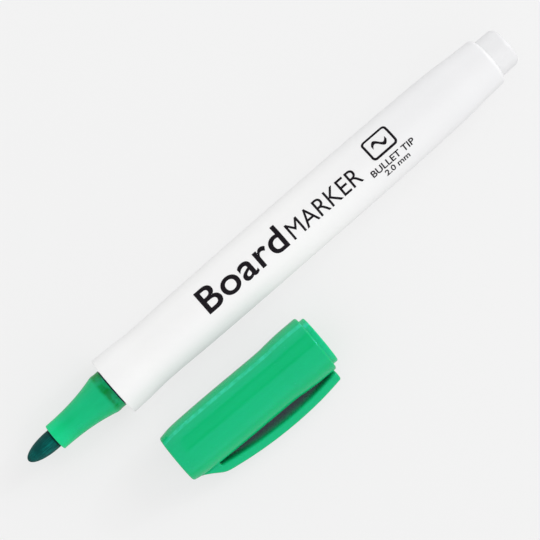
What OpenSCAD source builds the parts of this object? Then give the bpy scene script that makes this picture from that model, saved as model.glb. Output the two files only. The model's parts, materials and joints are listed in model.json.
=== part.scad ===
// Slim whiteboard marker lying on a table with its cap off beside it.
// The marker's axis is parallel to X: nib towards -X, tail towards +X.
// The origin is on the table, below the middle of the whole set.

/* [Barrel] */
// Length of the barrel, mouth to tail rim
barrel_len = 99.9; // [95:0.1:110]
// Diameter at the flared mouth
mouth_d = 13.3; // [13.2:0.05:13.8]
// Diameter at the waist behind the mouth
waist_d = 12.5; // [12.4:0.05:12.9]
// Diameter along the straight middle
belly_d = 13.05; // [12.9:0.05:13.3]
// Diameter just before the tail rim
heel_d = 11; // [10.8:0.05:11.4]
// Radius of the rounded edge at the tail
heel_round = 0.9; // [0.6:0.05:1]
// Diameter of the ink chamber
chamber_d = 10.2; // [9.9:0.05:10.3]
// Depth of the ring-shaped recess that takes the cap's skirt
recess_depth = 1.4; // [1.3:0.05:1.8]

/* [Tail plug] */
// Length of the plug's visible head
plug_len = 5.1; // [4:0.1:7]
// Diameter of the head, the same as the neck so that the cap fits here too
plug_d = 8.8; // [8.6:0.05:8.85]
// Radius of the head's rounded edge
plug_round = 0.9; // [0.5:0.05:1.2]
// Length of the stem inside the barrel
stem_len = 6.5; // [5:0.5:7]

/* [Nib and holder] */
// Length of the holder in front of the barrel
holder_len = 15.35; // [13:0.05:18]
// Diameter of the holder's front rim
holder_tip_d = 5.9; // [5.6:0.05:6.4]
// Diameter of the neck that the cap seals on
neck_d = 8.8; // [8.6:0.05:8.85]
// Length of the neck in front of the barrel
neck_len = 2.6; // [2.2:0.1:3]
// Diameter of the nib
nib_d = 4.15; // [3.8:0.05:4.4]
// Length of nib that shows in front of the holder
nib_out = 7; // [6:0.1:8]
// Length of the rounded bullet point
nib_point = 6; // [5:0.1:6]

/* [Ink reservoir] */
// Length of the fibre wadding
wadding_len = 74; // [60:1:74]
// Diameter of the fibre wadding
wadding_d = 9.2; // [8.8:0.1:9.3]
// Thickness of the plastic film around it
film_t = 0.12; // [0.08:0.01:0.15]

/* [Cap] */
// Length of the cap's shell
cap_len = 36.2; // [36:0.1:40]
// Diameter at the closed end
cap_end_d = 10.7; // [10.4:0.1:11]
// Diameter along the body
cap_body_d = 12.2; // [12.1:0.05:12.3]
// Diameter at the mouth
cap_mouth_d = 13; // [12.9:0.05:13.1]
// How far the inner cap's skirt stands out of the mouth
skirt_out = 1.25; // [1:0.05:1.3]
// Outer diameter of the skirt
skirt_d = 10.9; // [10.8:0.05:10.95]
// Bore of the skirt, a sliding fit on the neck and on the tail plug
skirt_bore_d = 9; // [8.95:0.05:9.1]

/* [Clip] */
// Width of the clip
clip_w = 5; // [4:0.1:6]
// Thickness of the clip
clip_t = 2.0; // [1.5:0.1:2.2]
// Distance of the bowed back from the cap's axis
clip_out = 9.8; // [9.6:0.05:10.2]
// Radius of the bow along the clip
clip_bow_r = 80; // [70:1:100]
// Place of the highest point of the bow, from the cap's closed end
clip_top_z = 22.2; // [21:0.1:23]
// Place of the clip's tip, from the cap's closed end
clip_tip_z = 35.6; // [35.2:0.05:35.8]

/* [Layout] */
// Distance between the two axes at the cap's closed end
cap_apart = 19.25; // [19:0.05:30]
// Angle that the cap is turned away from the marker
cap_yaw = 1.25; // [0:0.05:3]

/* [Hidden] */
$fn = 96;
over = 1;             // cutters run this far past the faces they open
fit = 0.05;           // play between pieces that are pushed together

// marker, along its own axis: 0 is the barrel's mouth, positive towards the tail
nib_tip_x = holder_len + nib_out;
tail_x = barrel_len + plug_len;
recess_r = skirt_d / 2 + 0.15;
flange_t = 0.8;
flange_x = recess_depth;
seat_x = flange_x + flange_t;
seat_len = 10;
seat_r = waist_d / 2 - 1.05;
chamber_r = chamber_d / 2;
chamber_x = seat_x + seat_len;
stem_r = 3.95;
stem_x = barrel_len - stem_len;
throat_len = 3;
chamber_end_x = stem_x - throat_len;
rib_count = 4;
rib_w = 0.7;
wadding_r = wadding_d / 2;
film_r = wadding_r + fit / 2;
wadding_x = chamber_x + 1.5;
rib_r = film_r + film_t + fit;
nib_r = nib_d / 2;
nib_bore_r = nib_r + fit / 2;
nib_in = 4;
nib_taper = 2;
holder_tip_r = holder_tip_d / 2;
neck_r = neck_d / 2;
bead_h = 0.05;
bead_x = 2;
flare_len = holder_len - neck_len;
flare_power = 2.4;
snap_h = 0.08;
snap_x = chamber_x - 3;
rim_round = 0.25;

// cap, along its own axis: 0 is the closed end, positive towards the mouth
shell_end_t = 1.2;
shell_round = 0.5;
lip_round = 0.3;
band_z = cap_len - 6.9;
shell_bore_r = cap_body_d / 2 - 1;
shell_mouth_bore_r = skirt_d / 2 + fit;
thimble_z = cap_len - nib_tip_x - 3.05;
thimble_r = 4.4;
thimble_bore_r = 3.65;
thimble_t = 1;
seal_len = 4.5;
seal_cone = 3;
skirt_z = cap_len + skirt_out;
vent_count = 3;
vent_angle = 70;
vent_r = 3.1;
vent_w = 0.8;
gate_r = 0.9;
gate_depth = 0.15;
shell_rib_count = 6;

// clip, in the cap's side view: z along the cap's axis, h away from it
root_end_z = 6.1;
root_round = 0.4;
ramp_deg = 37;
shoulder_r = 5;
shoulder_z = 7.2;
clip_gap = 0.08;
tip_round = 0.4;
tip_low = cap_mouth_d / 2 + 0.25;
bow_h = clip_out - clip_bow_r;
bow_steps = 14;

// layout on the table
cap_h = cap_mouth_d / 2;
clip_roll = asin(cap_h / norm([clip_out, clip_w / 2])) - atan2(clip_w / 2, clip_out);
side_reach = cap_apart + clip_top_z * sin(cap_yaw)
           + clip_out * cos(clip_roll) + clip_w / 2 * sin(clip_roll);
mouth_x = (nib_tip_x - tail_x) / 2;
marker_y = (side_reach - mouth_d / 2) / 2;
marker_h = mouth_d / 2;

// Point number i of a list, held at its ends
function knot(k, i) = k[max(0, min(len(k) - 1, i))];

// Smooth curve through four neighbouring points, t from 0 to 1
function smooth(a, b, c, d, t) =
    (2 * b + (c - a) * t + (2 * a - 5 * b + 4 * c - d) * t * t
     + (3 * b - a - 3 * c + d) * t * t * t) / 2;

// Smooth line through all the points of a list
function flow(k, steps) =
    concat([for (i = [0 : len(k) - 2], s = [0 : steps - 1])
               smooth(knot(k, i - 1), knot(k, i), knot(k, i + 1), knot(k, i + 2), s / steps)],
           [k[len(k) - 1]]);

// Points of an arc in a flat view
function arc(centre, r, a0, a1, steps) =
    [for (s = [0 : steps]) centre + r * [cos(a0 + (a1 - a0) * s / steps),
                                         sin(a0 + (a1 - a0) * s / steps)]];

// Turned outlines are lists of [radius, place along the axis]
function barrel_side() = flow([
    [mouth_d / 2, 0], [(mouth_d + waist_d) / 4 + 0.1, 4], [waist_d / 2, 10],
    [(waist_d + belly_d) / 4 + 0.05, 22], [belly_d / 2, 36], [belly_d / 2, 62],
    [belly_d / 2 - 0.1, 76], [(belly_d + heel_d) / 4 + 0.15, barrel_len - 12],
    [heel_d / 2 + 0.25, barrel_len - 6], [heel_d / 2, barrel_len - heel_round]], 5);

function flare_side(steps) =
    [for (s = [0 : steps]) [holder_tip_r + (neck_r - holder_tip_r) * pow(s / steps, flare_power),
                            flare_len * s / steps - holder_len]];

function nib_side(steps) =
    [for (s = [0 : steps]) [nib_r * sin(90 * s / steps),
                            -nib_tip_x + nib_point * (1 - cos(90 * s / steps))]];

function shell_side() = flow([
    [cap_end_d / 2 + 0.1, shell_round], [cap_body_d / 2 - 0.25, 3],
    [cap_body_d / 2 - 0.08, 7], [cap_body_d / 2, 14], [cap_body_d / 2, cap_len - 11.2],
    [(cap_body_d + cap_mouth_d) / 4, cap_len - 7.8], [cap_mouth_d / 2 - 0.02, cap_len - 4.7],
    [cap_mouth_d / 2, cap_len - lip_round]], 4);

// Lays a marker piece, turned about Z, along the table
module on_marker()
    translate([mouth_x, marker_y, marker_h])
        rotate([0, 90, 0])
            children();

// Lays a cap piece beside the marker, rolled over until the clip rests on the table
module on_cap()
    translate([mouth_x, marker_y - cap_apart, cap_h])
        rotate([0, 0, -cap_yaw])
            rotate([clip_roll - 90, 0, 0])
                rotate([0, 90, 0])
                    children();

module tube(outer_r, inner_r, z0, z1)
    translate([0, 0, z0])
        difference() {
            cylinder(r = outer_r, h = z1 - z0);
            translate([0, 0, -over])
                cylinder(r = inner_r, h = z1 - z0 + 2 * over);
        }

module bore(r, z0, z1)
    translate([0, 0, z0])
        cylinder(r = r, h = z1 - z0);

module funnel(r0, r1, z0, z1)
    translate([0, 0, z0])
        cylinder(r1 = r0, r2 = r1, h = z1 - z0);

// A rounded bead, or its groove, around a turned piece
module bead(r, h, z, width)
    translate([0, 0, z])
        rotate_extrude()
            polygon([[r - h, -width], [r, -width / 2], [r + h, -width / 4],
                     [r + h, width / 4], [r, width / 2], [r - h, width]]);

// Straight ribs that stand in from a round wall
module inward_ribs(count, wall_r, tip_r, z0, z1)
    for (i = [0 : count - 1])
        rotate([0, 0, i * 360 / count])
            translate([tip_r, -rib_w / 2, z0])
                cube([wall_r - tip_r + fit, rib_w, z1 - z0]);

module barrel()
    color("white")
        on_marker() {
            difference() {
                rotate_extrude()
                    polygon(concat([[0, 0]], barrel_side(),
                        arc([heel_d / 2 - heel_round, barrel_len - heel_round],
                            heel_round, 0, 90, 6),
                        [[0, barrel_len]]));
                bore(recess_r, -over, seat_x);
                bore(seat_r, 0, chamber_x);
                bead(seat_r, snap_h, snap_x, 1.2);
                bore(chamber_r, chamber_x - fit, chamber_end_x);
                funnel(chamber_r, stem_r + fit, chamber_end_x, stem_x);
                bore(stem_r + fit, 0, barrel_len + over);
            }
            inward_ribs(rib_count, chamber_r, rib_r, chamber_x + 1, chamber_end_x);
        }

module tail_plug()
    color("whitesmoke")
        on_marker()
            difference() {
                union() {
                    rotate_extrude()
                        polygon(concat([[0, barrel_len], [plug_d / 2, barrel_len]],
                            arc([plug_d / 2 - plug_round, tail_x - plug_round],
                                plug_round, 0, 90, 6),
                            [[0, tail_x]]));
                    bore(stem_r, stem_x, barrel_len + fit);
                }
                bore(stem_r - 1, stem_x - over, barrel_len + plug_len / 2);
                bead(stem_r, -snap_h, stem_x + 2, 1.2);
            }

module nib_holder()
    color("mediumseagreen")
        on_marker()
            difference() {
                union() {
                    rotate_extrude()
                        polygon(concat([[0, -holder_len],
                                        [holder_tip_r - rim_round, -holder_len]],
                            [for (p = flare_side(14))
                                if (p[1] > rim_round - holder_len) p],
                            [[neck_r, flange_x], [0, flange_x]]));
                    bead(neck_r, bead_h, -bead_x, 0.8);
                    bore(recess_r - fit, flange_x, seat_x);
                    bore(seat_r - fit, seat_x - fit, chamber_x);
                    bead(seat_r - fit, snap_h, snap_x, 1);
                }
                bore(nib_bore_r, -holder_len - over, chamber_x + over);
                tube(seat_r - 1, nib_bore_r + 0.9, seat_x + 1, chamber_x + over);
                for (i = [0 : 2])
                    rotate([0, 0, i * 120])
                        translate([0, -0.3, -holder_len + 1.5])
                            cube([nib_bore_r + 0.35, 0.6, holder_len + chamber_x]);
            }

module nib()
    color("darkslategray")
        on_marker()
            rotate_extrude()
                polygon(concat(nib_side(14),
                    [[nib_r, wadding_x + nib_in - nib_taper],
                     [nib_r / 3, wadding_x + nib_in], [0, wadding_x + nib_in]]));

module reservoir_core()
    color("seagreen")
        on_marker()
            difference() {
                bore(wadding_r, wadding_x, wadding_x + wadding_len);
                bore(nib_bore_r, wadding_x - over, wadding_x + nib_in - nib_taper);
                funnel(nib_bore_r, nib_r / 3 + fit, wadding_x + nib_in - nib_taper - fit,
                       wadding_x + nib_in + fit);
            }

module reservoir_film()
    color("lightblue")
        on_marker()
            tube(film_r + film_t, film_r, wadding_x, wadding_x + wadding_len);

// Outside of the cap's shell, grown by a gap
module shell_outside(gap)
    rotate_extrude()
        polygon(concat([[0, -gap]],
            arc([cap_end_d / 2 + 0.1 - shell_round, shell_round],
                shell_round + gap, -90, -10, 5),
            [for (p = shell_side()) p + [gap, 0]],
            arc([cap_mouth_d / 2 - lip_round, cap_len - lip_round],
                lip_round + gap, 10, 90, 5),
            [[0, cap_len + gap]]));

module cap_shell()
    color("mediumseagreen")
        on_cap() {
            difference() {
                shell_outside(0);
                bore(shell_bore_r, shell_end_t, band_z);
                funnel(shell_bore_r, shell_mouth_bore_r, band_z - 0.5, band_z);
                bore(shell_mouth_bore_r, band_z - fit, cap_len + over);
                bore(gate_r, -over, gate_depth);
                for (i = [0 : vent_count - 1])
                    rotate([0, 0, i * 360 / vent_count])
                        rotate_extrude(angle = vent_angle)
                            translate([vent_r, -over])
                                square([vent_w, shell_end_t + 2 * over]);
            }
            inward_ribs(shell_rib_count, shell_bore_r, thimble_r + fit,
                        thimble_z + 2, band_z - 0.5);
        }

module inner_cap()
    color("seagreen")
        on_cap()
            difference() {
                union() {
                    rotate_extrude()
                        polygon(concat([[0, band_z], [skirt_d / 2, band_z]],
                            arc([skirt_d / 2 - lip_round, skirt_z - lip_round],
                                lip_round, 0, 90, 5),
                            [[0, skirt_z]]));
                    rotate_extrude()
                        polygon(concat([[0, thimble_z]],
                            arc([thimble_r - thimble_t, thimble_z + thimble_t],
                                thimble_t, -90, 0, 6),
                            [[thimble_r, band_z + fit], [0, band_z + fit]]));
                }
                bore(thimble_bore_r, thimble_z + thimble_t, skirt_z - seal_len - seal_cone + fit);
                funnel(thimble_bore_r, skirt_bore_d / 2,
                       skirt_z - seal_len - seal_cone, skirt_z - seal_len);
                bore(skirt_bore_d / 2, skirt_z - seal_len, skirt_z + over);
            }

// Height of the clip's back above the cap's axis at a place along it
function back_h(z) = bow_h + sqrt(pow(clip_bow_r, 2) - pow(z - clip_top_z, 2));

// Height of the clip's inner face, level from where it comes close to the cap's mouth
function belly_h(z) =
    let (bowed = bow_h + sqrt(pow(clip_bow_r - clip_t, 2) - pow(z - clip_top_z, 2)))
    z > clip_top_z ? max(bowed, tip_low) : bowed;

// Points along the bow between two places, at a height given by the back or the belly
function back_points(z0, z1) =
    [for (s = [0 : bow_steps]) let (z = z0 + (z1 - z0) * s / bow_steps) [z, back_h(z)]];

function belly_points(z0, z1) =
    [for (s = [0 : bow_steps]) let (z = z0 + (z1 - z0) * s / bow_steps) [z, belly_h(z)]];

// Side view of the clip: up the ramp, along the back to the tip, and home along the belly
function clip_side() =
    let (bow_deg = asin((clip_top_z - shoulder_z) / clip_bow_r),
         shoulder = [shoulder_z, back_h(shoulder_z)]
                  - shoulder_r * [-sin(bow_deg), cos(bow_deg)],
         ramp_top = shoulder + shoulder_r * [-sin(ramp_deg), cos(ramp_deg)],
         base_h = cap_end_d / 2 - 0.5,
         ramp_foot = [ramp_top[0] - (ramp_top[1] - base_h) / tan(ramp_deg), base_h],
         tip_z = clip_tip_z - tip_round,
         belly_z = root_end_z + root_round)
    concat([ramp_foot],
           arc(shoulder, shoulder_r, 90 + ramp_deg, 90 + bow_deg, 6),
           back_points(shoulder_z + 1, tip_z),
           arc([tip_z, back_h(tip_z) - tip_round], tip_round, 75, 0, 4),
           arc([tip_z, tip_low + tip_round], tip_round, 0, -90, 4),
           belly_points(tip_z - 0.5, belly_z + 0.5),
           arc([belly_z, belly_h(belly_z) - root_round], root_round, 90, 180, 4),
           [[root_end_z, base_h]]);

module cap_clip()
    color("mediumseagreen")
        on_cap()
            difference() {
                translate([0, clip_w / 2, 0])
                    rotate([90, 0, 0])
                        linear_extrude(height = clip_w)
                            polygon([for (p = clip_side()) [p[1], p[0]]]);
                shell_outside(clip_gap);
            }

barrel();
tail_plug();
nib_holder();
nib();
reservoir_core();
reservoir_film();
cap_shell();
cap_clip();
inner_cap();
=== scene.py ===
import json
import math
import bmesh
import bpy
from mathutils import Matrix, Vector


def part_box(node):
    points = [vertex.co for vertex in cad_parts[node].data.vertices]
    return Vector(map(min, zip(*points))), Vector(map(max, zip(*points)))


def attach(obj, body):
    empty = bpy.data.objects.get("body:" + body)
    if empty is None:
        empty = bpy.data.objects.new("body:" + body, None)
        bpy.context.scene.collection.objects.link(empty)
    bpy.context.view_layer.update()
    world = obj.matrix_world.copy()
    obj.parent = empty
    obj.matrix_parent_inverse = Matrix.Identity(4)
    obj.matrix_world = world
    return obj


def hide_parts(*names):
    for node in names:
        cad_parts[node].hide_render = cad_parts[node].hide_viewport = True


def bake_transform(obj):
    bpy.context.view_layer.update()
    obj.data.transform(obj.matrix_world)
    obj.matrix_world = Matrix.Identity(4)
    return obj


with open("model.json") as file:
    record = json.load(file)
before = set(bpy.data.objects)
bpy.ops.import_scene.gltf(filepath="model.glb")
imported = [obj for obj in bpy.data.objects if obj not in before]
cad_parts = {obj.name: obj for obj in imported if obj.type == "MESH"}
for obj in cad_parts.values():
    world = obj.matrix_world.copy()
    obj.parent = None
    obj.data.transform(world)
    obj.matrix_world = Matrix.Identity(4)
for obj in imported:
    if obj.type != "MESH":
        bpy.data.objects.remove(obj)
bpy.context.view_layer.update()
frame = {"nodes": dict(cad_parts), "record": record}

# ---------------------------------------------------------------------------
# Camera: a long lens high above the table, leaning a little towards the tail and turned so that
# the marker climbs from the lower left to the upper right. Its place, like every size on the
# marker, is in millimetres from the middle of the barrel's mouth, with the nib towards -X.
# ---------------------------------------------------------------------------
MM = 0.001
barrel_low, barrel_high = (Vector(corner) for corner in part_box("barrel"))
mouth = Vector((barrel_low.x, (barrel_low.y + barrel_high.y) / 2, (barrel_low.z + barrel_high.z) / 2))
on_marker = Matrix.Translation(mouth) @ Matrix.Scale(MM, 4)

climb = math.radians(41.16)
eye = on_marker @ Vector((19.4, -30.1, 419.4))
aim = on_marker @ Vector((38.92, -3.0, 0.0))
lens = 140.0

camera = bpy.data.objects.new("camera", bpy.data.cameras.new("camera"))
bpy.context.scene.collection.objects.link(camera)
bpy.context.scene.camera = camera
camera.data.lens = lens
camera.data.clip_start = 0.01
forward = (aim - eye).normalized()
upward = Vector((math.sin(climb), math.cos(climb), 0.0))
rightward = forward.cross(upward).normalized()
upward = rightward.cross(forward)
camera.matrix_world = Matrix.Translation(eye) @ Matrix((rightward, upward, -forward)).transposed().to_4x4()

# ---------------------------------------------------------------------------
# Table: a wide sheet of opal acrylic, lit from below as well as from above, so
# that it stays pale right up to the pieces and their shadows are faint.
# ---------------------------------------------------------------------------
def put(tree, kind, sockets=None, **settings):
    """Adds one node, sets or links its sockets, and returns it."""
    node = tree.nodes.new(kind)
    for name, value in settings.items():
        setattr(node, name, value)
    for key, value in (sockets or {}).items():
        if isinstance(value, bpy.types.NodeSocket):
            tree.links.new(value, node.inputs[key])
        else:
            node.inputs[key].default_value = value
    return node


def finish_coat(name, base, rough):
    """A new material with a base colour and a roughness: itself, its tree and its shader."""
    material = bpy.data.materials.new(name)
    material.use_nodes = True
    tree = material.node_tree
    shader = tree.nodes["Principled BSDF"]
    shader.inputs["Base Color"].default_value = (*base, 1.0)
    shader.inputs["Roughness"].default_value = rough
    return material, tree, shader


def place_in_mm(tree):
    """The place on the surface, in millimetres."""
    place = put(tree, "ShaderNodeTexCoord")
    return put(tree, "ShaderNodeVectorMath", {0: place.outputs["Object"], "Scale": 1 / MM},
               operation="SCALE").outputs["Vector"]


glow_from_below, glow_in_reflections = 0.61, 0.22
opal, tree, shader = finish_coat("opal_acrylic", (0.28, 0.28, 0.28), 0.8)
tooth = put(tree, "ShaderNodeTexNoise", {"Vector": place_in_mm(tree), "Scale": 2.0, "Detail": 3.0})
bump = put(tree, "ShaderNodeBump", {"Height": tooth.outputs["Fac"], "Strength": 0.02, "Distance": 0.0001})
tree.links.new(bump.outputs["Normal"], shader.inputs["Normal"])
shader.inputs["Specular IOR Level"].default_value = 0.05
shader.inputs["Emission Color"].default_value = (1.0, 1.0, 1.0, 1.0)
# Painted shade in reflections: glossy rays see the sheet glow dimmer, standing in for the shadows that the
# pieces cast around themselves.
seen_how = put(tree, "ShaderNodeLightPath")
sheet_glow_and_reflection_shade = put(tree, "ShaderNodeMapRange", {"Value": seen_how.outputs["Is Glossy Ray"],
                                                  "To Min": glow_from_below, "To Max": glow_in_reflections})
tree.links.new(sheet_glow_and_reflection_shade.outputs[0], shader.inputs["Emission Strength"])

table_half = 3.0
table_mesh = bpy.data.meshes.new("table")
corners = [(-1, -1), (1, -1), (1, 1), (-1, 1)]
table_mesh.from_pydata([(x * table_half, y * table_half, 0.0) for x, y in corners], [], [(0, 1, 2, 3)])
table_mesh.materials.append(opal)
table = bpy.data.objects.new("table", table_mesh)
bpy.context.scene.collection.objects.link(table)

# ---------------------------------------------------------------------------
# Studio: a white tent all round, brighter low down on the cap's side, and two soft lamps at the
# tail end that push the shadows towards the nib. Glossy faces mirror a second tent with a dim,
# dark-rimmed slot overhead, where the camera looks in.
# ---------------------------------------------------------------------------
roof_light, cap_side_light, barrel_side_light = 0.805, 1.22, 0.16
tent_light, slot_light, slot_rim_light = 0.94, 0.38, 0.04
slot_sides, slot_ends, slot_soft = (-5.0, 49.0), (-14.0, 62.0), 3.0
low_rim, high_rim = (-4.0, 4.0), (39.0, 48.0)

world = bpy.data.worlds.new("studio")
world.use_nodes = True
tent = world.node_tree
direction = put(tent, "ShaderNodeTexCoord")
split = put(tent, "ShaderNodeSeparateXYZ", {0: direction.outputs["Generated"]})


def lean(part):
    """Angle in degrees from straight up towards X or Y."""
    turn = put(tent, "ShaderNodeMath", {0: split.outputs[part], 1: split.outputs["Z"]}, operation="ARCTAN2")
    return put(tent, "ShaderNodeMath", {0: turn.outputs[0]}, operation="DEGREES").outputs[0]


def between(angle, low, high, soft):
    """A mask that is 1 between two angles, with soft flanks."""
    up = put(tent, "ShaderNodeMapRange", {"Value": angle, "From Min": low - soft, "From Max": low + soft},
             interpolation_type="SMOOTHSTEP")
    down = put(tent, "ShaderNodeMapRange", {"Value": angle, "From Min": high - soft, "From Max": high + soft,
                                            "To Min": 1.0, "To Max": 0.0}, interpolation_type="SMOOTHSTEP")
    both = put(tent, "ShaderNodeMath", {0: up.outputs[0], 1: down.outputs[0]}, operation="MULTIPLY")
    return both.outputs[0]


side_lean, end_lean = lean("Y"), lean("X")
in_ends = between(end_lean, *slot_ends, slot_soft)
slot = put(tent, "ShaderNodeMath", {0: between(side_lean, *slot_sides, slot_soft), 1: in_ends},
           operation="MULTIPLY")
slotted = put(tent, "ShaderNodeMapRange", {"Value": slot.outputs[0], "To Min": tent_light,
                                           "To Max": slot_light})
rims = put(tent, "ShaderNodeMath", {0: between(side_lean, *low_rim, slot_soft),
                                    1: between(side_lean, *high_rim, slot_soft)}, operation="ADD")
rims = put(tent, "ShaderNodeMath", {0: rims.outputs[0], 1: in_ends}, operation="MULTIPLY")
mirrored = put(tent, "ShaderNodeMix", {0: rims.outputs[0], 2: slotted.outputs[0], 3: slot_rim_light},
               data_type="FLOAT")
cap_side = put(tent, "ShaderNodeMapRange", {"Value": side_lean, "From Min": -30.0, "From Max": -90.0,
                                            "To Min": roof_light, "To Max": cap_side_light},
               interpolation_type="SMOOTHSTEP")
barrel_side = put(tent, "ShaderNodeMapRange", {"Value": side_lean, "From Min": 30.0, "From Max": 90.0,
                                               "To Min": 0.0, "To Max": barrel_side_light},
                  interpolation_type="SMOOTHSTEP")
even = put(tent, "ShaderNodeMath", {0: cap_side.outputs[0], 1: barrel_side.outputs[0]}, operation="ADD")
seen_how = put(tent, "ShaderNodeLightPath")
glow = put(tent, "ShaderNodeMix", {0: seen_how.outputs["Is Glossy Ray"], 2: even.outputs[0],
                                   3: mirrored.outputs[0]}, data_type="FLOAT")
tent.links.new(glow.outputs[0], tent.nodes["Background"].inputs["Strength"])
tent.nodes["Background"].inputs["Color"].default_value = (1.0, 1.0, 1.0, 1.0)
bpy.context.scene.world = world
bpy.context.scene.view_settings.view_transform = "Standard"


def soft_lamp(name, place, size, power):
    """A square soft lamp that looks at the middle of the set."""
    lamp = bpy.data.lights.new(name, "AREA")
    lamp.size = size
    lamp.energy = power
    box = bpy.data.objects.new(name, lamp)
    bpy.context.scene.collection.objects.link(box)
    box.location = place
    box.rotation_euler = Vector(place).to_track_quat("Z", "Y").to_euler()
    box.visible_camera = False


soft_lamp("lamp_tail", (0.95, 0.05, 0.70), 0.6, 3.2)
soft_lamp("lamp_sparkle", (0.75, -0.03, 0.45), 0.05, 0.5)

# ---------------------------------------------------------------------------
# Barrel: one white polypropylene moulding, a tube with a flared mouth, a slight
# waist, a straight belly and a tail drawn in to a rounded rim. Satin, with the
# faint flow lines of its long mould and a few hairline scratches.
# ---------------------------------------------------------------------------
def eased(points, steps):
    """A smooth line through (place, radius) points."""
    line = []
    for i in range(len(points) - 1):
        a, b, c, d = (Vector(points[min(max(k, 0), len(points) - 1)]) for k in (i - 1, i, i + 1, i + 2))
        for s in range(steps):
            t = s / steps
            line.append(tuple((2 * b + (c - a) * t + (2 * a - 5 * b + 4 * c - d) * t * t
                               + (3 * b - a - 3 * c + d) * t ** 3) / 2))
    return line + [points[-1]]


def rounded(centre, radius, start, end, steps=6):
    """Points of an arc, for a rounded edge in an outline."""
    angles = [math.radians(start + (end - start) * s / steps) for s in range(steps + 1)]
    return [(centre[0] + radius * math.cos(a), centre[1] + radius * math.sin(a)) for a in angles]


def soften(mesh, sharp=35.0):
    """Smooth shading that keeps the crisp edges."""
    mesh.shade_smooth()
    mesh.set_sharp_from_angle(angle=math.radians(sharp))


def turned(name, outline, material, place, turns=144):
    """A turned piece from an outline of (place, radius), closed on itself or on the axis."""
    mesh = bmesh.new()
    rings = []
    for along, radius in outline:
        if radius < 1e-6:
            rings.append([mesh.verts.new((along, 0, 0))])
            continue
        spokes = [2 * math.pi * i / turns for i in range(turns)]
        rings.append([mesh.verts.new((along, radius * math.sin(a), radius * math.cos(a))) for a in spokes])
    pairs = list(zip(rings, rings[1:]))
    if len(rings[0]) > 1 and len(rings[-1]) > 1:
        pairs.append((rings[-1], rings[0]))
    for near, far in pairs:
        for i in range(turns):
            j = (i + 1) % turns
            loop = [near[i % len(near)], near[j % len(near)], far[j % len(far)], far[i % len(far)]]
            corners = list(dict.fromkeys(loop))
            if len(corners) > 2:
                mesh.faces.new(corners)
    bmesh.ops.recalc_face_normals(mesh, faces=mesh.faces)
    mesh.transform(place)
    data = bpy.data.meshes.new(name)
    mesh.to_mesh(data)
    mesh.free()
    soften(data)
    data.materials.append(material)
    piece = bpy.data.objects.new(name, data)
    bpy.context.scene.collection.objects.link(piece)
    return piece


def new_group(name, inputs, outputs):
    """A shader node group with named inputs, each with its usual value, and named outputs."""
    group = bpy.data.node_groups.new(name, "ShaderNodeTree")
    for socket, usual in inputs.items():
        made = group.interface.new_socket(socket, in_out="INPUT", socket_type="NodeSocketFloat")
        made.default_value = usual
    for socket in outputs:
        group.interface.new_socket(socket, in_out="OUTPUT", socket_type="NodeSocketFloat")
    return group, put(group, "NodeGroupInput"), put(group, "NodeGroupOutput")


# Skin of a moulded piece: streaks that follow the flow along X, a fine peel, and sparse hairlines.
skin, given, result = new_group("moulded_skin", {"Scratch share": 0.5}, ["Streak", "Scratch", "Height"])
spot = place_in_mm(skin)
drawn = put(skin, "ShaderNodeMapping", {"Vector": spot, "Scale": (0.06, 0.8, 0.8)})
streak = put(skin, "ShaderNodeTexNoise", {"Vector": drawn.outputs["Vector"], "Scale": 1.0, "Detail": 3.0})
peel = put(skin, "ShaderNodeTexNoise", {"Vector": spot, "Scale": 3.0, "Detail": 2.0})
long_way = put(skin, "ShaderNodeMapping", {"Vector": spot, "Scale": (0.10, 0.55, 0.55),
                                           "Rotation": (0.0, 0.0, 0.35)})
hair = put(skin, "ShaderNodeTexNoise", {"Vector": long_way.outputs["Vector"], "Scale": 1.0, "Detail": 5.0,
                                        "Distortion": 0.8})
off_line = put(skin, "ShaderNodeMath", {0: hair.outputs["Fac"], 1: 0.5}, operation="SUBTRACT")
off_line = put(skin, "ShaderNodeMath", {0: off_line.outputs[0]}, operation="ABSOLUTE")
line = put(skin, "ShaderNodeMapRange", {"Value": off_line.outputs[0], "From Min": 0.0, "From Max": 0.006,
                                        "To Min": 1.0, "To Max": 0.0})
patch = put(skin, "ShaderNodeTexNoise", {"Vector": spot, "Scale": 0.35, "Detail": 1.0})
here = put(skin, "ShaderNodeMapRange", {"Value": patch.outputs["Fac"], "From Min": 0.56, "From Max": 0.64})
scratch = put(skin, "ShaderNodeMath", {0: line.outputs[0], 1: here.outputs[0]}, operation="MULTIPLY")
scratch = put(skin, "ShaderNodeMath", {0: scratch.outputs[0], 1: given.outputs["Scratch share"]},
              operation="MULTIPLY")
height = put(skin, "ShaderNodeMath", {0: peel.outputs["Fac"], 1: scratch.outputs[0]}, operation="SUBTRACT")
skin.links.new(streak.outputs["Fac"], result.inputs["Streak"])
skin.links.new(scratch.outputs[0], result.inputs["Scratch"])
skin.links.new(height.outputs[0], result.inputs["Height"])

# Edge wear: where the surface turns sharply outwards it is rubbed, in broken patches.
wear, given, result = new_group("edge_wear", {"Start": 0.52, "Full": 0.60}, ["Edge"])
form = put(wear, "ShaderNodeNewGeometry")
place = put(wear, "ShaderNodeTexCoord")
broken = put(wear, "ShaderNodeTexNoise", {"Vector": place.outputs["Object"], "Scale": 900.0, "Detail": 4.0})
turn = put(wear, "ShaderNodeMapRange", {"Value": form.outputs["Pointiness"],
                                        "From Min": given.outputs["Start"],
                                        "From Max": given.outputs["Full"]})
patchy = put(wear, "ShaderNodeMapRange", {"Value": broken.outputs["Fac"], "From Min": 0.35,
                                          "From Max": 0.65, "To Min": 0.35, "To Max": 1.0})
edge = put(wear, "ShaderNodeMath", {0: turn.outputs[0], 1: patchy.outputs[0]}, operation="MULTIPLY")
wear.links.new(edge.outputs[0], result.inputs["Edge"])


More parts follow.
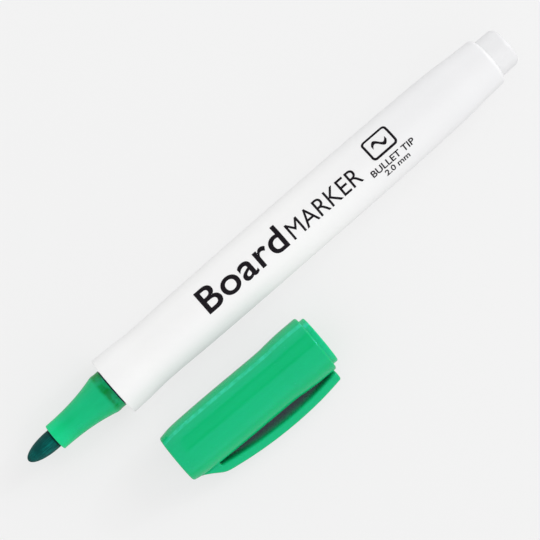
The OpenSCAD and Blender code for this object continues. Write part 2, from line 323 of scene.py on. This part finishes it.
def washed(tree, mask, tint):
    """Lays a colour over the ones that the shader has so far, as thick as the mask says."""
    base = tree.nodes["Principled BSDF"].inputs["Base Color"]
    over = put(tree, "ShaderNodeMix", {0: mask, 6: base.links[0].from_socket, 7: (*tint, 1)},
               data_type="RGBA")
    tree.links.new(over.outputs[2], base)


def moulded(name, base, streaked, rubbed, rough, scratches, see_through,
            depth=(1.0, 1.0, 1.0), sheen_tint=(1.0, 1.0, 1.0), sheen=0.5, spill=None):
    """Moulded plastic: streaks between two colours, rubbed edges, uneven gloss and a fine skin.

    Light goes into it as far as see_through and depth say, and spill is the colour that it
    throws on its neighbours, where that isn't its own."""
    material, tree, shader = finish_coat(name, base, rough)
    shader.inputs["Specular Tint"].default_value = (*sheen_tint, 1.0)
    shader.inputs["Specular IOR Level"].default_value = sheen
    skin_node = put(tree, "ShaderNodeGroup", node_tree=skin)
    skin_node.inputs["Scratch share"].default_value = scratches
    wear_node = put(tree, "ShaderNodeGroup", node_tree=wear)
    streaks = put(tree, "ShaderNodeMix", {0: skin_node.outputs["Streak"], 6: (*base, 1), 7: (*streaked, 1)},
                  data_type="RGBA")
    tree.links.new(streaks.outputs[2], shader.inputs["Base Color"])
    washed(tree, wear_node.outputs["Edge"], rubbed)
    if spill:
        seen_how = put(tree, "ShaderNodeLightPath")
        washed(tree, seen_how.outputs["Is Diffuse Ray"], spill)
    shine = put(tree, "ShaderNodeMapRange", {"Value": skin_node.outputs["Streak"],
                                             "To Min": rough - 0.06, "To Max": rough + 0.06})
    shine = put(tree, "ShaderNodeMath", {0: skin_node.outputs["Scratch"], 1: 0.3, 2: shine.outputs[0]},
                operation="MULTIPLY_ADD")
    bump = put(tree, "ShaderNodeBump", {"Height": skin_node.outputs["Height"], "Strength": 0.25,
                                        "Distance": 0.00002})
    tree.links.new(shine.outputs[0], shader.inputs["Roughness"])
    tree.links.new(bump.outputs["Normal"], shader.inputs["Normal"])
    shader.inputs["Subsurface Weight"].default_value = see_through
    shader.inputs["Subsurface Radius"].default_value = depth
    shader.inputs["Subsurface Scale"].default_value = MM
    return material


def from_mouth(tree):
    """The place on the marker, in millimetres from the barrel's mouth."""
    return put(tree, "ShaderNodeVectorMath", {0: place_in_mm(tree), 1: tuple(mouth / MM)},
               operation="SUBTRACT").outputs["Vector"]


def stretch(tree, place, start, end, blend="LINEAR"):
    """A mask that climbs from 0 to 1 between two distances from the barrel's mouth."""
    along = put(tree, "ShaderNodeSeparateXYZ", {0: place})
    return put(tree, "ShaderNodeMapRange", {"Value": along.outputs["X"], "From Min": start, "From Max": end},
               interpolation_type=blend).outputs[0]


barrel_len, mouth_r, waist_r, belly_r, heel_r, heel_round = 99.9, 6.65, 6.25, 6.525, 5.5, 0.9
recess_r, recess_deep, seat_r, seat_deep = 5.6, 2.2, 5.2, 12.2
chamber_r, throat_r, throat_len, throat_cone = 5.1, 4.0, 6.5, 3.0
lip = 0.15
barrel_back = eased([
    (lip, mouth_r), (4, 6.54), (10, waist_r), (22, 6.44), (36, belly_r), (62, belly_r), (76, 6.425),
    (88.3, 6.16), (94.3, 5.75), (barrel_len - heel_round, heel_r)], 10)
barrel_outline = (
    rounded((lip, mouth_r - lip), lip, 180, 90, 4)[:-1] + barrel_back
    + rounded((barrel_len - heel_round, heel_r - heel_round), heel_round, 90, 0, 8)[1:]
    + [(barrel_len, throat_r), (barrel_len - throat_len, throat_r),
       (barrel_len - throat_len - throat_cone, chamber_r), (seat_deep, chamber_r), (seat_deep, seat_r),
       (recess_deep, seat_r), (recess_deep, recess_r), (lip, recess_r)]
    + rounded((lip, recess_r + lip), lip, 270, 180, 3)[1:])

white_plastic = moulded(
    "barrel_white_plastic", (0.93, 0.93, 0.925), (0.91, 0.91, 0.91), (0.97, 0.97, 0.97), 0.38,
    scratches=0.25, see_through=0.08)
tree = white_plastic.node_tree
# Painted shade: the barrel turns greyer towards the tail, toning down the light that the tail lamp throws
# there.
tail_painted_shade = stretch(tree, from_mouth(tree), 45.0, 95.0, "SMOOTHSTEP")
washed(tree, tail_painted_shade, (0.85, 0.85, 0.86))
barrel = turned("barrel_tube", barrel_outline, white_plastic, on_marker)
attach(barrel, "marker")
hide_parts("barrel")

# ---------------------------------------------------------------------------
# Tail plug: a hollow white polypropylene moulding pushed into the tail, its head as wide as the
# neck at the front so that the cap can be put here while writing, with a slightly domed end.
# ---------------------------------------------------------------------------
plug_len, plug_r, plug_end_r, plug_round, plug_dome = 5.1, 4.44, 4.34, 1.1, 0.25
stem_r, stem_bevel, hollow_r, hollow_bevel, hollow_roof = 3.95, 0.3, 2.95, 0.2, 2.6
tail_end = barrel_len + plug_len
stem_end = barrel_len - throat_len
plug_outline = (
    [(barrel_len + hollow_roof, 0), (barrel_len + hollow_roof, hollow_r),
     (stem_end + hollow_bevel, hollow_r), (stem_end, hollow_r + hollow_bevel),
     (stem_end, stem_r - stem_bevel), (stem_end + stem_bevel, stem_r), (barrel_len, stem_r),
     (barrel_len, plug_r)]
    + rounded((tail_end - plug_round - plug_dome, plug_end_r - plug_round), plug_round, 85, 12, 10)
    + [(tail_end - 0.14, 2.5), (tail_end - 0.05, 1.6), (tail_end - 0.01, 0.8), (tail_end, 0)])
plug_plastic = moulded(
    "plug_white_plastic", (0.81, 0.81, 0.82), (0.78, 0.78, 0.79), (0.90, 0.90, 0.90), 0.36,
    scratches=0.3, see_through=0.15)
plug = turned("tail_plug_cup", plug_outline, plug_plastic, on_marker)
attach(plug, "marker")
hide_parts("tail_plug")

# ---------------------------------------------------------------------------
# Nib holder: the green cone in front, one polypropylene moulding with a straight neck for the
# cap, a thin bead on it, a flange against the barrel's step and a long sleeve pushed into the
# barrel. Its neck is painted darker in blotches, painted shade marks the line where the neck
# enters the barrel, and the tip is painted brighter, painted light for light through its thin wall.
# ---------------------------------------------------------------------------
holder_len, holder_tip_r, neck_r, neck_len = 15.35, 2.95, 4.4, 2.6
nib_bore_r, nib_bore_wall, sleeve_wall, flange_x = 2.1, 0.9, 1.0, 1.4
tip_round, bead, joint_deep, play = 0.22, 0.05, 0.35, 0.05
front = -holder_len
flare = [(front + (holder_len - neck_len) * s / 30,
          holder_tip_r + (neck_r - holder_tip_r) * (s / 30) ** 2.4) for s in range(1, 31)]
holder_outline = (
    [(front + 0.1, nib_bore_r), (front, nib_bore_r + 0.1)]
    + rounded((front + tip_round, holder_tip_r - tip_round), tip_round, 180, 95, 5) + flare
    + [(-2.2, neck_r + bead), (-1.8, neck_r + bead), (-1.6, neck_r), (-joint_deep, neck_r),
       (-joint_deep + 0.05, neck_r - joint_deep), (flange_x, neck_r - joint_deep),
       (flange_x, recess_r - play), (recess_deep, recess_r - play), (recess_deep, seat_r - play),
       (seat_deep, seat_r - play), (seat_deep, seat_r - sleeve_wall),
       (recess_deep + 1, seat_r - sleeve_wall), (recess_deep + 1, nib_bore_r + nib_bore_wall),
       (seat_deep, nib_bore_r + nib_bore_wall), (seat_deep, nib_bore_r)])
green_depth, green_sheen, green_spill = (0.15, 1.0, 0.45), (0.2, 0.3, 1.0), (0.45, 0.60, 0.52)
holder_plastic = moulded(
    "holder_green_plastic", (0.003, 0.52, 0.165), (0.005, 0.58, 0.205), (0.03, 0.68, 0.36), 0.20,
    scratches=0.4, see_through=0.25, depth=green_depth, sheen_tint=green_sheen, sheen=0.65,
    spill=green_spill)
tree = holder_plastic.node_tree
spot = from_mouth(tree)
blot = put(tree, "ShaderNodeTexNoise", {"Vector": spot, "Scale": 0.42, "Detail": 2.5, "Distortion": 0.4})
blotted = put(tree, "ShaderNodeMapRange", {"Value": blot.outputs["Fac"], "From Min": 0.46, "From Max": 0.60,
                                           "To Min": 0.35, "To Max": 1.0})
# The neck is painted a darker green in blotches from the bead on to the mouth.
neck_blotches = put(tree, "ShaderNodeMath", {0: blotted.outputs[0], 1: stretch(tree, spot, -2.7, -2.0)},
                 operation="MULTIPLY")
washed(tree, neck_blotches.outputs[0], (0.002, 0.32, 0.032))
# Painted shade: a near-black ring on the neck just in front of the barrel's mouth, where the neck runs under
# the barrel's lip.
joint_painted_shade = stretch(tree, spot, -joint_deep - 0.09, -joint_deep + 0.03)
washed(tree, joint_painted_shade, (0.001, 0.006, 0.003))
# Painted light: the cone turns a brighter green over its last 5 mm towards the tip, standing in for light
# shining through the thin wall.
tip_painted_glow = stretch(tree, spot, front + 5.0, front + 0.5, "SMOOTHSTEP")
washed(tree, tip_painted_glow, (0.006, 0.66, 0.235))
holder = turned("nib_holder_cone", holder_outline, holder_plastic, on_marker)
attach(holder, "marker")
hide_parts("nib_holder")

# ---------------------------------------------------------------------------
# Nib: a rod of bonded fibres ground to a bullet point, pushed through the holder and soaked with
# ink. The fibres run lengthwise, so its surface is finely furrowed along the rod, and it is
# painted nearly black in a thin ring where it leaves the holder.
# ---------------------------------------------------------------------------
nib_r, nib_out, nib_point, nib_in = 2.075, 7.0, 6.0, 17.7
nib_tip = front - nib_out
bullet = [(nib_tip + nib_point * (1 - math.cos(a)), nib_r * math.sin(a))
          for a in (math.radians(90 * s / 24) for s in range(25))]
nib_outline = bullet + [(front + 2.0 * k, nib_r) for k in range(1, 9)] + [
    (nib_in - 2.0, nib_r), (nib_in, nib_r / 3), (nib_in, 0)]

nib_fibre, tree, shader = finish_coat("inked_fibre", (0.002, 0.08, 0.07), 0.5)
shader.inputs["Specular IOR Level"].default_value = 0.3
shader.inputs["Specular Tint"].default_value = (0.15, 0.9, 1.0, 1.0)
spot = place_in_mm(tree)
strands = put(tree, "ShaderNodeMapping", {"Vector": spot, "Scale": (0.35, 5.5, 5.5)})
strand = put(tree, "ShaderNodeTexNoise", {"Vector": strands.outputs["Vector"], "Scale": 1.0, "Detail": 4.0,
                                          "Roughness": 0.65})
ink = put(tree, "ShaderNodeValToRGB", {"Fac": strand.outputs["Fac"]})
ink.color_ramp.elements[0].position = 0.36
ink.color_ramp.elements[0].color = (0.0005, 0.030, 0.026, 1)
ink.color_ramp.elements[1].position = 0.64
ink.color_ramp.elements[1].color = (0.002, 0.150, 0.125, 1)
tree.links.new(ink.outputs["Color"], shader.inputs["Base Color"])
patches = put(tree, "ShaderNodeTexNoise", {"Vector": spot, "Scale": 0.30, "Detail": 2.0})
soaked = put(tree, "ShaderNodeMapRange", {"Value": patches.outputs["Fac"], "From Min": 0.40,
                                          "From Max": 0.62})
washed(tree, soaked.outputs[0], (0.001, 0.050, 0.043))
# Nearly black in a ring just in front of the holder's face.
dark_ring_at_holder = stretch(tree, from_mouth(tree), front - 0.55, front - 0.25)
washed(tree, dark_ring_at_holder, (0.0, 0.004, 0.004))
furrow = put(tree, "ShaderNodeBump", {"Height": strand.outputs["Fac"], "Strength": 0.7, "Distance": 0.00008})
tree.links.new(furrow.outputs["Normal"], shader.inputs["Normal"])
nib = turned("nib_bullet", nib_outline, nib_fibre, on_marker)
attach(nib, "marker")
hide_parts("nib")

# ---------------------------------------------------------------------------
# Ink reservoir: a long plug of crimped fibre soaked with ink, and the clear film rolled round
# it. Both are hidden in the barrel, so the frame's own solids stay and only take their finish.
# ---------------------------------------------------------------------------
wadding, tree, shader = finish_coat("inked_wadding", (0.01, 0.22, 0.12), 0.9)
crimps = put(tree, "ShaderNodeMapping", {"Vector": place_in_mm(tree), "Scale": (0.5, 3.0, 3.0)})
crimp = put(tree, "ShaderNodeTexNoise", {"Vector": crimps.outputs["Vector"], "Scale": 1.0, "Detail": 6.0,
                                         "Distortion": 0.6})
dye = put(tree, "ShaderNodeMix", {0: crimp.outputs["Fac"], 6: (0.006, 0.13, 0.08, 1),
                                  7: (0.03, 0.36, 0.22, 1)}, data_type="RGBA")
fuzz = put(tree, "ShaderNodeBump", {"Height": crimp.outputs["Fac"], "Strength": 0.8, "Distance": 0.00015})
tree.links.new(dye.outputs[2], shader.inputs["Base Color"])
tree.links.new(fuzz.outputs["Normal"], shader.inputs["Normal"])
frame["nodes"]["reservoir_core"].data.materials.clear()
frame["nodes"]["reservoir_core"].data.materials.append(wadding)

film, tree, shader = finish_coat("rolled_film", (0.78, 0.88, 0.86), 0.12)
creases = put(tree, "ShaderNodeTexNoise", {"Vector": place_in_mm(tree), "Scale": 0.4, "Detail": 3.0,
                                           "Distortion": 1.2})
tint = put(tree, "ShaderNodeMix", {0: creases.outputs["Fac"], 6: (0.70, 0.86, 0.82, 1),
                                   7: (0.86, 0.93, 0.92, 1)}, data_type="RGBA")
crease = put(tree, "ShaderNodeBump", {"Height": creases.outputs["Fac"], "Strength": 0.3, "Distance": 0.0001})
tree.links.new(tint.outputs[2], shader.inputs["Base Color"])
tree.links.new(crease.outputs["Normal"], shader.inputs["Normal"])
frame["nodes"]["reservoir_film"].data.materials.clear()
frame["nodes"]["reservoir_film"].data.materials.append(film)

# ---------------------------------------------------------------------------
# Print: black ink screened onto the barrel, built as a film a few hundredths of a millimetre
# thick that starts just under the skin. It says what the marker is for, how wide it writes, and
# has a small sign of a board with a wavy line on it.
# ---------------------------------------------------------------------------
def barrel_radius(along):
    """Radius of the barrel's skin at a place, read off its outline."""
    for (x0, r0), (x1, r1) in zip(barrel_back, barrel_back[1:]):
        if x0 <= along <= x1:
            return r0 + (r1 - r0) * (along - x0) / (x1 - x0)
    return belly_r


ink_under, ink_over = -0.03, 0.025


def printed(name, flat, material):
    """Wraps a flat sheet, in mm along and around the barrel, onto its skin as a thin solid."""
    bmesh.ops.remove_doubles(flat, verts=flat.verts, dist=1e-4)
    xs = [v.co.x for v in flat.verts]
    ys = [v.co.y for v in flat.verts]
    step_along, step_around = 1.5, 0.3
    for axis, low, high, step in ((0, min(xs), max(xs), step_along), (1, min(ys), max(ys), step_around)):
        for k in range(1, int((high - low) / step) + 1):
            cut = Vector((0, 0, 0))
            cut[axis] = low + k * step
            side = Vector((0, 0, 0))
            side[axis] = 1
            everything = flat.verts[:] + flat.edges[:] + flat.faces[:]
            bmesh.ops.bisect_plane(flat, geom=everything, plane_co=cut, plane_no=side, dist=1e-5)
    raised = bmesh.ops.extrude_face_region(flat, geom=flat.faces[:], use_keep_orig=True)
    for v in (item for item in raised["geom"] if isinstance(item, bmesh.types.BMVert)):
        v.co.z = 1
    for v in flat.verts:
        skin_r = barrel_radius(v.co.x)
        angle = v.co.y / belly_r
        r = skin_r + (ink_over if v.co.z > 0.5 else ink_under)
        v.co = Vector((v.co.x, r * math.sin(angle), r * math.cos(angle)))
    bmesh.ops.recalc_face_normals(flat, faces=flat.faces)
    flat.transform(on_marker)
    data = bpy.data.meshes.new(name)
    flat.to_mesh(data)
    flat.free()
    soften(data)
    data.materials.append(material)
    piece = bpy.data.objects.new(name, data)
    bpy.context.scene.collection.objects.link(piece)
    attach(piece, "marker")


def lettering(name, words, start, end, base, tall, weight, spacing=1.0):
    """Words set between two places along the barrel, standing on a base line around it."""
    curve = bpy.data.curves.new(name, "FONT")
    curve.body = words
    curve.offset = weight
    curve.space_character = spacing
    typeset = bpy.data.objects.new(name + "_type", curve)
    bpy.context.scene.collection.objects.link(typeset)
    bpy.context.view_layer.update()
    data = bpy.data.meshes.new_from_object(typeset.evaluated_get(bpy.context.evaluated_depsgraph_get()))
    bpy.data.objects.remove(typeset)
    flat = bmesh.new()
    flat.from_mesh(data)
    bpy.data.meshes.remove(data)
    xs = [v.co.x for v in flat.verts]
    high = max(v.co.y for v in flat.verts)
    for v in flat.verts:
        v.co.x = start + (v.co.x - min(xs)) * (end - start) / (max(xs) - min(xs))
        v.co.y = base + v.co.y * tall / high
    printed(name, flat, black_ink)


black_ink, tree, shader = finish_coat("black_print", (0.006, 0.005, 0.007), 0.5)
shader.inputs["Specular IOR Level"].default_value = 0.12
grit = put(tree, "ShaderNodeTexNoise", {"Vector": place_in_mm(tree), "Scale": 6.0, "Detail": 4.0})
ink_tone = put(tree, "ShaderNodeMix", {0: grit.outputs["Fac"], 6: (0.003, 0.002, 0.004, 1),
                                       7: (0.012, 0.009, 0.013, 1)}, data_type="RGBA")
ink_bump = put(tree, "ShaderNodeBump", {"Height": grit.outputs["Fac"], "Strength": 0.3, "Distance": 0.00001})
tree.links.new(ink_tone.outputs[2], shader.inputs["Base Color"])
tree.links.new(ink_bump.outputs["Normal"], shader.inputs["Normal"])

big_base = -2.25
lettering("print_board", "Board", 24.0, 45.0, big_base, 5.35, weight=0.013, spacing=1.06)
lettering("print_marker", "MARKER", 46.3, 64.5, big_base, 3.6, weight=0.0)
lettering("print_tip", "BULLET TIP", 66.2, 77.2, -3.35, 1.4, weight=0.016)
lettering("print_width", "2.0 mm", 68.6, 74.8, -5.1, 1.35, weight=0.016)


def ribbon(one_edge, other_edge, closed):
    """A flat band between two lines with the same number of points, closed to a ring or open."""
    flat = bmesh.new()
    one = [flat.verts.new((*p, 0)) for p in one_edge]
    other = [flat.verts.new((*p, 0)) for p in other_edge]
    for i in range(len(one) if closed else len(one) - 1):
        j = (i + 1) % len(one)
        flat.faces.new((one[i], one[j], other[j], other[i]))
    return flat


def round_board(centre, wide, tall, corner):
    """Outline of a board with rounded corners."""
    points = []
    for sx, sy, start in ((1, 1, 0), (-1, 1, 90), (-1, -1, 180), (1, -1, 270)):
        middle = (centre[0] + sx * (wide / 2 - corner), centre[1] + sy * (tall / 2 - corner))
        points += rounded(middle, corner, start, start + 90, 6)
    return points


sign_at, board_wide, board_tall, frame_wide = (71.5, 1.45), 6.4, 4.9, 0.5
wave_wide, wave_high, wave_steps, stroke_half = 3.4, 0.75, 24, 0.38
board_outside = round_board(sign_at, board_wide, board_tall, 0.9)
board_inside = round_board(sign_at, board_wide - 2 * frame_wide, board_tall - 2 * frame_wide, 0.45)
printed("print_sign_board", ribbon(board_outside, board_inside, closed=True), black_ink)
wave = [(sign_at[0] + wave_wide * (s / wave_steps - 0.5),
         sign_at[1] + wave_high * math.sin(2 * math.pi * s / wave_steps)) for s in range(wave_steps + 1)]
above, below = ([(x, y + shift) for x, y in wave] for shift in (stroke_half, -stroke_half))
printed("print_sign_stroke", ribbon(above, below, closed=False), black_ink)

# ---------------------------------------------------------------------------
# Cap shell: a green polypropylene moulding closed at one end, a little fuller towards a flared
# mouth, with three vents and the gate's witness mark in its end. Its sizes, and those of the
# clip and the inner cap, are in millimetres from its closed end.
# ---------------------------------------------------------------------------
mounts = {mount["name"]: mount for mount in frame["record"]["mounts"]}
seat_middle = 35.2
cap_way = Vector(mounts["cap_mouth"]["axis"]).normalized()
clip_way = Vector(mounts["cap_clip_grip"]["axis"]).normalized()
across = clip_way.cross(cap_way)
closed_end = Vector(mounts["cap_mouth"]["pos_m"]) - cap_way * seat_middle * MM
on_cap = (Matrix.Translation(closed_end) @ Matrix((cap_way, across, clip_way)).transposed().to_4x4()
          @ Matrix.Scale(MM, 4))

cap_len, cap_end_r, cap_body_r, cap_mouth_r = 36.2, 5.45, 6.1, 6.5
end_round, cap_lip, end_wall, bore_r, band_z, band_bore_r = 0.55, 0.45, 1.2, 5.1, 29.3, 5.5
shell_back = eased([
    (end_round, cap_end_r), (3, 5.85), (7, 6.02), (14, cap_body_r), (25, cap_body_r), (28.4, 6.3),
    (31.5, 6.48), (cap_len - cap_lip, cap_mouth_r)], 8)
shell_outline = (
    [(0.12, 0), (0.12, 0.3), (0.15, 0.42), (0.15, 0.8), (0, 0.95)]
    + rounded((end_round, cap_end_r - end_round), end_round, 180, 95, 7) + shell_back
    + rounded((cap_len - cap_lip, cap_mouth_r - cap_lip), cap_lip, 80, 0, 6)
    + [(cap_len, band_bore_r + 0.1), (cap_len - 0.1, band_bore_r), (band_z, band_bore_r),
       (band_z - 0.5, bore_r), (end_wall + 0.4, bore_r), (end_wall, bore_r - 0.4), (end_wall, 0)])


def cap_moulding(name):
    """The plastic of the shell and of the clip that is moulded on it."""
    return moulded(name, (0.003, 0.51, 0.160), (0.005, 0.56, 0.200), (0.03, 0.68, 0.36), 0.17,
                   scratches=0.8, see_through=0.25, depth=green_depth, sheen_tint=green_sheen, sheen=0.75,
                   spill=green_spill)


shell = turned("cap_shell_cup", shell_outline, cap_moulding("cap_green_plastic"), on_cap)

vents_in_end, vent_turn, vent_steps = 3, 70, 14
vent_inner, vent_outer, cut_from, cut_to = 3.1, 3.9, -1, 3
vent_corners = ((cut_from, vent_inner), (cut_from, vent_outer), (cut_to, vent_outer), (cut_to, vent_inner))
vent_mesh = bmesh.new()
for k in range(vents_in_end):
    sweep = [math.radians(360 / vents_in_end * k + vent_turn * s / vent_steps)
             for s in range(vent_steps + 1)]
    bars = [[vent_mesh.verts.new((x, r * math.sin(a), r * math.cos(a))) for x, r in vent_corners]
            for a in sweep]
    for near, far in zip(bars, bars[1:]):
        for i in range(4):
            j = (i + 1) % 4
            vent_mesh.faces.new((near[i], near[j], far[j], far[i]))
    vent_mesh.faces.new(bars[0])
    vent_mesh.faces.new(reversed(bars[-1]))
bmesh.ops.recalc_face_normals(vent_mesh, faces=vent_mesh.faces)
vent_mesh.transform(on_cap)
vent_data = bpy.data.meshes.new("vents")
vent_mesh.to_mesh(vent_data)
vent_mesh.free()
vents = bpy.data.objects.new("vents", vent_data)
bpy.context.scene.collection.objects.link(vents)
cut = shell.modifiers.new("vents", "BOOLEAN")
cut.object = vents
cut.solver = "EXACT"
bpy.context.view_layer.update()
drilled = bpy.data.meshes.new_from_object(shell.evaluated_get(bpy.context.evaluated_depsgraph_get()))
shell.modifiers.clear()
shell.data = drilled
soften(shell.data)
bpy.data.objects.remove(vents)
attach(shell, "cap")
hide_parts("cap_shell")

# ---------------------------------------------------------------------------
# Clip: a bowed strip moulded in one with the shell. It climbs from the shell on a short ramp,
# runs along the cap in a long bow and comes back close to the shell at its rounded tip.
# ---------------------------------------------------------------------------
clip_t, clip_half, clip_high, bow_r, bow_top = 2.0, 2.5, 9.8, 80.0, 22.2
shoulder_z, shoulder_r, ramp = 7.2, 5.0, math.radians(37)
root_start, root_end, root_low, root_round = 1.95, 6.1, 5.25, 0.4
tip_z, tip_end_round, tip_lift, taper_z, taper = 35.6, 0.4, 0.25, 30.0, 0.2
back_round, inner_round, back_crown = 0.5, 0.45, 0.12


def bow(z, inset=0.0):
    """Height of the bow above the cap's axis."""
    return clip_high - bow_r + math.sqrt((bow_r - inset) ** 2 - (z - bow_top) ** 2)


def clip_back(z):
    """Height of the clip's back: ramp, rounded shoulder, bow."""
    if z >= shoulder_z:
        return bow(z)
    slope = math.asin((bow_top - shoulder_z) / bow_r)
    centre_z = shoulder_z + shoulder_r * math.sin(slope)
    centre_h = bow(shoulder_z) - shoulder_r * math.cos(slope)
    ramp_top_z = centre_z - shoulder_r * math.sin(ramp)
    if z >= ramp_top_z:
        return centre_h + math.sqrt(shoulder_r ** 2 - (z - centre_z) ** 2)
    return centre_h + shoulder_r * math.cos(ramp) - (ramp_top_z - z) * math.tan(ramp)


def clip_belly(z):
    """Height of the clip's underside: root, then the open gap."""
    if z <= root_end:
        return root_low
    under = bow(z, clip_t)
    if z < root_end + root_round:
        return under - root_round + math.sqrt(root_round ** 2 - (root_end + root_round - z) ** 2)
    return max(under, cap_mouth_r + tip_lift) if z > bow_top else under


def clip_section(z, inset=0.0):
    """One ring of the clip: a rounded bar in section, a little crowned on its back."""
    half = clip_half - taper * max(z - taper_z, 0) / (tip_z - taper_z) - inset
    top, low = clip_back(z) - inset, clip_belly(z) + inset
    corner = min(back_round, (top - low) / 2.2)
    edge = min(inner_round, (top - low) / 2.2)
    ring = []
    for sy, cz, r_size, start in ((1, top, corner, 0), (-1, top, corner, 90), (-1, low, edge / 2, 180),
                                  (1, low, edge, 270)):
        centre = (sy * (half - r_size), cz - r_size if cz == top else cz + r_size)
        ring += rounded(centre, r_size, start, start + 90, 5)
    return [(z, y, h + back_crown * (1 - (y / half) ** 2) * (h > top - 0.05)) for y, h in ring]


def evenly(start, end, steps):
    """Places spread evenly from one to another."""
    return [start + (end - start) * s / steps for s in range(steps + 1)]


quarter = evenly(0.0, math.pi / 2, 6)
corner_places = [root_end + root_round * (1 - math.cos(turn)) + 0.001 for turn in quarter]
bow_places = evenly(root_end + root_round + 0.2, tip_z - tip_end_round - 0.01, 72)
rings = [clip_section(z) for z in evenly(root_start, root_end, 16) + corner_places + bow_places]
for turn in quarter[1:]:
    rings.append([(tip_z - tip_end_round * (1 - math.sin(turn)), y, h)
                  for z, y, h in clip_section(tip_z - tip_end_round, tip_end_round * (1 - math.cos(turn)))])
strip = bmesh.new()
loops = [[strip.verts.new(p) for p in ring] for ring in rings]
for near, far in zip(loops, loops[1:]):
    for i in range(len(near)):
        j = (i + 1) % len(near)
        strip.faces.new((near[i], near[j], far[j], far[i]))
strip.faces.new(loops[0])
strip.faces.new(reversed(loops[-1]))
bmesh.ops.remove_doubles(strip, verts=strip.verts, dist=1e-4)
bmesh.ops.recalc_face_normals(strip, faces=strip.faces)
strip.transform(on_cap)

# Painted shade: the face turned to the shell is darkened nearly to black, most at one edge and
# fading towards the other edge and the tip, which keep their green.
clip_plastic = cap_moulding("clip_green_plastic")
tree = clip_plastic.node_tree
place = put(tree, "ShaderNodeTexCoord")
from_end = put(tree, "ShaderNodeVectorMath", {0: place.outputs["Object"], 1: tuple(closed_end)},
               operation="SUBTRACT")
sideways = put(tree, "ShaderNodeVectorMath", {0: from_end.outputs["Vector"], 1: tuple(across / MM)},
               operation="DOT_PRODUCT")
facing = put(tree, "ShaderNodeVectorMath", {0: place.outputs["Normal"], 1: tuple(-clip_way)},
             operation="DOT_PRODUCT")
inward = put(tree, "ShaderNodeMapRange", {"Value": facing.outputs["Value"], "From Min": 0.1,
                                          "From Max": 0.75}, interpolation_type="SMOOTHSTEP")
lengthways = put(tree, "ShaderNodeVectorMath", {0: from_end.outputs["Vector"], 1: tuple(cap_way / MM)},
                 operation="DOT_PRODUCT")
open_edge = put(tree, "ShaderNodeMapRange", {"Value": sideways.outputs["Value"], "From Min": -clip_half,
                                             "From Max": clip_half})
unshaded_share = put(tree, "ShaderNodeMath", {0: open_edge.outputs[0], 1: 2.0}, operation="POWER")
unshaded_tip = put(tree, "ShaderNodeMapRange", {"Value": lengthways.outputs["Value"], "From Min": 32.5,
                                             "From Max": 34.5})
unshaded_share = put(tree, "ShaderNodeMath", {0: unshaded_share.outputs[0], 1: unshaded_tip.outputs[0]}, operation="MAXIMUM")
shade_share = put(tree, "ShaderNodeMath", {0: 1.0, 1: unshaded_share.outputs[0]}, operation="SUBTRACT")
# Painted shade on the face turned to the shell, darkest at one edge, clear at the other edge and tip.
clip_painted_shade = put(tree, "ShaderNodeMath", {0: inward.outputs[0], 1: shade_share.outputs[0]}, operation="MULTIPLY")
washed(tree, clip_painted_shade.outputs[0], (0.0004, 0.004, 0.002))

clip_data = bpy.data.meshes.new("cap_clip_strip")
strip.to_mesh(clip_data)
strip.free()
soften(clip_data, 40.0)
clip_data.materials.append(clip_plastic)
clip = bpy.data.objects.new("cap_clip_strip", clip_data)
bpy.context.scene.collection.objects.link(clip)
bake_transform(clip)
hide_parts("cap_clip")

# ---------------------------------------------------------------------------
# Inner cap: a thimble of softer green plastic pressed into the shell. Its skirt stands out
# of the mouth and seals on the neck; deeper in it closes round the holder and the nib.
# ---------------------------------------------------------------------------
skirt_r, skirt_bore_r, skirt_z, skirt_lip, skirt_deep, skirt_cone = 5.45, 4.5, 37.45, 0.3, 4.5, 3.0
thimble_z, thimble_r, thimble_bore_r, thimble_wall, thimble_round = 10.8, 4.4, 3.65, 1.0, 1.0
liner_outline = (
    [(thimble_z, 0)]
    + rounded((thimble_z + thimble_round, thimble_r - thimble_round), thimble_round, 180, 90, 6)
    + [(band_z, thimble_r), (band_z, skirt_r - 0.15), (band_z + 0.15, skirt_r)]
    + rounded((skirt_z - skirt_lip, skirt_r - skirt_lip), skirt_lip, 90, 0, 6)
    + rounded((skirt_z - skirt_lip, skirt_bore_r + skirt_lip), skirt_lip, 360, 270, 6)
    + [(skirt_z - skirt_deep, skirt_bore_r), (skirt_z - skirt_deep - skirt_cone, thimble_bore_r),
       (thimble_z + thimble_wall + 0.8, thimble_bore_r), (thimble_z + thimble_wall, thimble_bore_r - 0.8),
       (thimble_z + thimble_wall, 0)])
liner_plastic = moulded(
    "liner_green_plastic", (0.005, 0.56, 0.20), (0.009, 0.62, 0.25), (0.03, 0.70, 0.40), 0.28,
    scratches=0.3, see_through=0.3, depth=green_depth, sheen_tint=green_sheen, sheen=0.65)
liner = turned("inner_cap_thimble", liner_outline, liner_plastic, on_cap)
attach(liner, "cap")
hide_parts("inner_cap")
